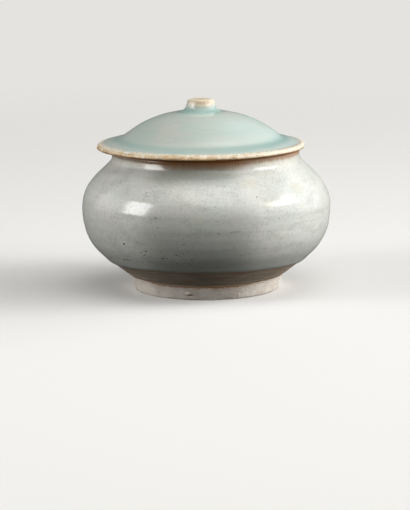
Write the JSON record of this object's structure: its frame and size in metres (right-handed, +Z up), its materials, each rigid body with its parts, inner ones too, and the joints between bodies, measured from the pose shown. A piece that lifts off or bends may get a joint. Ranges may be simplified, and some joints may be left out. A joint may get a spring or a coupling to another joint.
{
  "type": "covered pot",
  "caption": "Small covered pot: a squat, full-bellied jar on a bare foot ring, with a loose domed lid that has a sloping flange, a locating ring underneath and a small knob.",
  "frame": {"origin": "Centre of the bottom of the foot ring, on the surface that the pot stands on.", "axes": "+Z up along the jar's axis; -Y faces the viewer of the picture; the loose lid lies 2.2 mm towards -X."},
  "size_m": [0.11, 0.11, 0.0843],
  "materials": {
    "jar_glaze": "glossy grey-white glaze with a faint green tone, fine throwing lines and pinholes",
    "foot_clay": "bare fired clay, pale pinkish buff, matt, with small chips",
    "lid_glaze": "glossy pale blue-green glaze, deeper where it pools, worn to a buff line at the rim",
    "lid_clay": "bare fired clay, golden brown, matt",
    "knob_glaze": "thin glaze broken to tan at the top, blue-green where it pools at the foot"
  },
  "bodies": {
    "jar": {"jar_body": "jar_glaze", "foot_ring": "foot_clay"},
    "lid": {"lid_shell": "lid_glaze", "lid_locating_ring": "lid_clay", "lid_knob": "knob_glaze"}
  },
  "joints": [
    {"name": "lid_lift", "type": "slide", "parent": "jar", "child": "lid", "axis": [0, 0, 1], "range_m": [0, 0.06]}
  ]
}
